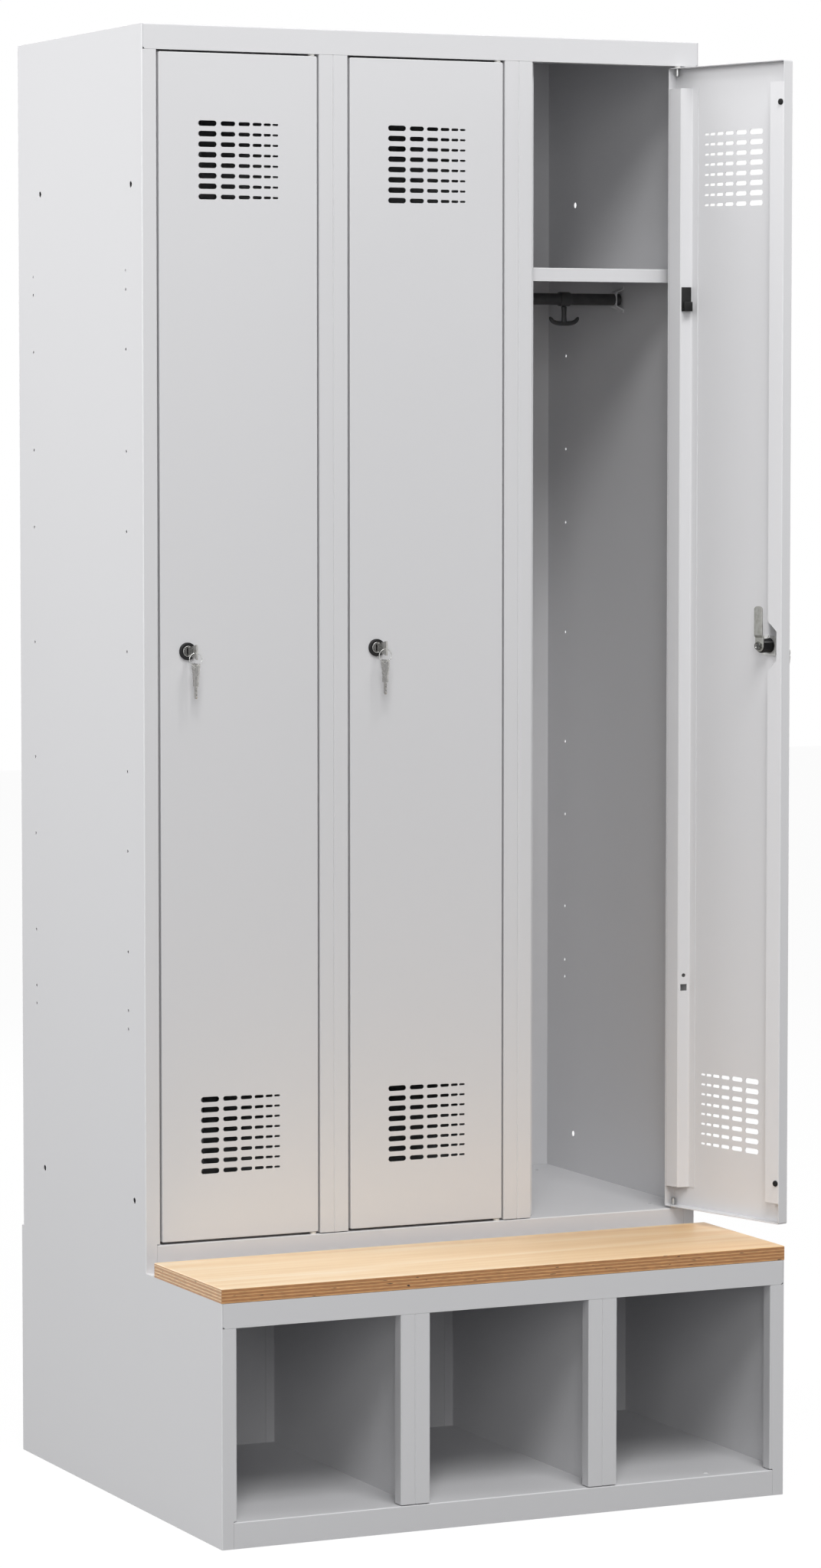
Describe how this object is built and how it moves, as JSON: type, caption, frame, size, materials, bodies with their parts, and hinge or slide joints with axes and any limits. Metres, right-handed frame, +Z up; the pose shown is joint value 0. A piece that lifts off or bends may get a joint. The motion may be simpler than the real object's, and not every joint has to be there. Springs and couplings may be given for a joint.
{
  "type": "cloakroom locker with bench",
  "caption": "Steel cloakroom locker of several columns, with vented hinged doors, on a base with open shoe compartments and a plywood seat in front.",
  "frame": {"origin": "on the floor, at the centre of the base's footprint", "axes": "+X to the viewer's right along the width, +Y to the back, +Z up"},
  "size_m": [0.9663, 0.79, 2.15],
  "materials": {
    "powder_coat": "satin",
    "plywood": "satin",
    "black_plastic": "satin",
    "dark_plastic": "matte",
    "black_rubber": "matte",
    "white_nylon": "satin",
    "zinc_steel": "satin",
    "nickel_steel": "polished"
  },
  "bodies": {
    "cabinet": {"roof_panel": "powder_coat", "left_side_panel": "powder_coat", "right_side_panel": "powder_coat", "divider_1": "powder_coat", "divider_2": "powder_coat", "back_panel": "powder_coat", "floor_panel": "powder_coat", "shelves": "powder_coat", "rail_brackets": "powder_coat", "hinge_bushings": "white_nylon", "base_left_side": "powder_coat", "base_right_side": "powder_coat", "base_top": "powder_coat", "base_floor": "powder_coat", "base_back": "powder_coat", "base_dividers": "powder_coat", "bench_board": "plywood"},
    "door_1": {"door_panel_1": "powder_coat", "door_stiffener_1": "powder_coat", "coat_hook_1": "black_plastic", "door_buffers_1": "black_rubber", "hinge_pins_1": "zinc_steel", "lock_housing_1": "black_plastic", "lock_clip_1": "zinc_steel"},
    "lock_core_1": {"lock_plug_1": "nickel_steel", "lock_cam_1": "zinc_steel"},
    "inserted_key_1": {"key_1": "nickel_steel"},
    "split_ring_1": {"key_ring_1": "zinc_steel"},
    "hanging_key_1": {"spare_key_1": "nickel_steel"},
    "rail_1": {"hanger_rail_1": "dark_plastic"},
    "double_hook_1": {"rail_hook_1": "dark_plastic"},
    "door_2": {"door_panel_2": "powder_coat", "door_stiffener_2": "powder_coat", "coat_hook_2": "black_plastic", "door_buffers_2": "black_rubber", "hinge_pins_2": "zinc_steel", "lock_housing_2": "black_plastic", "lock_clip_2": "zinc_steel"},
    "lock_core_2": {"lock_plug_2": "nickel_steel", "lock_cam_2": "zinc_steel"},
    "inserted_key_2": {"key_2": "nickel_steel"},
    "split_ring_2": {"key_ring_2": "zinc_steel"},
    "hanging_key_2": {"spare_key_2": "nickel_steel"},
    "rail_2": {"hanger_rail_2": "dark_plastic"},
    "double_hook_2": {"rail_hook_2": "dark_plastic"},
    "door_3": {"door_panel_3": "powder_coat", "door_stiffener_3": "powder_coat", "coat_hook_3": "black_plastic", "door_buffers_3": "black_rubber", "hinge_pins_3": "zinc_steel", "lock_housing_3": "black_plastic", "lock_clip_3": "zinc_steel"},
    "lock_core_3": {"lock_plug_3": "nickel_steel", "lock_cam_3": "zinc_steel"},
    "inserted_key_3": {"key_3": "nickel_steel"},
    "split_ring_3": {"key_ring_3": "zinc_steel"},
    "hanging_key_3": {"spare_key_3": "nickel_steel"},
    "rail_3": {"hanger_rail_3": "dark_plastic"},
    "double_hook_3": {"rail_hook_3": "dark_plastic"}
  },
  "joints": [
    {"name": "door_hinge_1", "type": "hinge", "parent": "cabinet", "child": "door_1", "pos_m": [-0.1825, -0.107, 1.25225], "axis": [0, 0, 1], "range_deg": [0, 110]},
    {"name": "lock_turn_1", "type": "hinge", "parent": "door_1", "child": "lock_core_1", "pos_m": [-0.382, -0.107, 1.25225], "axis": [0, -1, 0], "range_deg": [0, 90]},
    {"name": "key_slide_1", "type": "slide", "parent": "lock_core_1", "child": "inserted_key_1", "axis": [0, -1, 0], "range_m": [0, 0.025]},
    {"name": "ring_swing_1", "type": "hinge", "parent": "inserted_key_1", "child": "split_ring_1", "pos_m": [-0.382, -0.1448, 1.251], "axis": [-1, 0, 0], "range_deg": [-15, 60]},
    {"name": "spare_key_swing_1", "type": "hinge", "parent": "split_ring_1", "child": "hanging_key_1", "pos_m": [-0.382, -0.1448, 1.2316], "axis": [-1, 0, 0], "range_deg": [-10, 20]},
    {"name": "rail_turn_1", "type": "hinge", "parent": "cabinet", "child": "rail_1", "pos_m": [-0.3, 0.137, 1.7715], "axis": [1, 0, 0], "range_deg": [-75, 75]},
    {"name": "hook_slide_1", "type": "slide", "parent": "rail_1", "child": "double_hook_1", "axis": [1, 0, 0], "range_m": [-0.174, 0.07]},
    {"name": "door_hinge_2", "type": "hinge", "parent": "cabinet", "child": "door_2", "pos_m": [0.1175, -0.107, 1.25225], "axis": [0, 0, 1], "range_deg": [0, 110]},
    {"name": "lock_turn_2", "type": "hinge", "parent": "door_2", "child": "lock_core_2", "pos_m": [-0.082, -0.107, 1.25225], "axis": [0, -1, 0], "range_deg": [0, 90]},
    {"name": "key_slide_2", "type": "slide", "parent": "lock_core_2", "child": "inserted_key_2", "axis": [0, -1, 0], "range_m": [0, 0.025]},
    {"name": "ring_swing_2", "type": "hinge", "parent": "inserted_key_2", "child": "split_ring_2", "pos_m": [-0.082, -0.1448, 1.251], "axis": [-1, 0, 0], "range_deg": [-15, 60]},
    {"name": "spare_key_swing_2", "type": "hinge", "parent": "split_ring_2", "child": "hanging_key_2", "pos_m": [-0.082, -0.1448, 1.2316], "axis": [-1, 0, 0], "range_deg": [-10, 20]},
    {"name": "rail_turn_2", "type": "hinge", "parent": "cabinet", "child": "rail_2", "pos_m": [0, 0.137, 1.7715], "axis": [1, 0, 0], "range_deg": [-75, 75]},
    {"name": "hook_slide_2", "type": "slide", "parent": "rail_2", "child": "double_hook_2", "axis": [1, 0, 0], "range_m": [-0.174, 0.07]},
    {"name": "door_hinge_3", "type": "hinge", "parent": "cabinet", "child": "door_3", "pos_m": [0.4175, -0.107, 1.25225], "axis": [0, 0, 1], "range_deg": [-105, 5]},
    {"name": "lock_turn_3", "type": "hinge", "parent": "door_3", "child": "lock_core_3", "pos_m": [0.46913, -0.2997, 1.25225], "axis": [0.9659, 0.2588, 0], "range_deg": [0, 90]},
    {"name": "key_slide_3", "type": "slide", "parent": "lock_core_3", "child": "inserted_key_3", "axis": [0.9659, 0.2588, 0], "range_m": [0, 0.025]},
    {"name": "ring_swing_3", "type": "hinge", "parent": "inserted_key_3", "child": "split_ring_3", "pos_m": [0.50565, -0.28992, 1.251], "axis": [0.2588, -0.9659, 0], "range_deg": [-15, 60]},
    {"name": "spare_key_swing_3", "type": "hinge", "parent": "split_ring_3", "child": "hanging_key_3", "pos_m": [0.50565, -0.28992, 1.2316], "axis": [0.2588, -0.9659, 0], "range_deg": [-10, 20]},
    {"name": "rail_turn_3", "type": "hinge", "parent": "cabinet", "child": "rail_3", "pos_m": [0.3, 0.137, 1.7715], "axis": [1, 0, 0], "range_deg": [-75, 75]},
    {"name": "hook_slide_3", "type": "slide", "parent": "rail_3", "child": "double_hook_3", "axis": [1, 0, 0], "range_m": [-0.174, 0.07]}
  ]
}
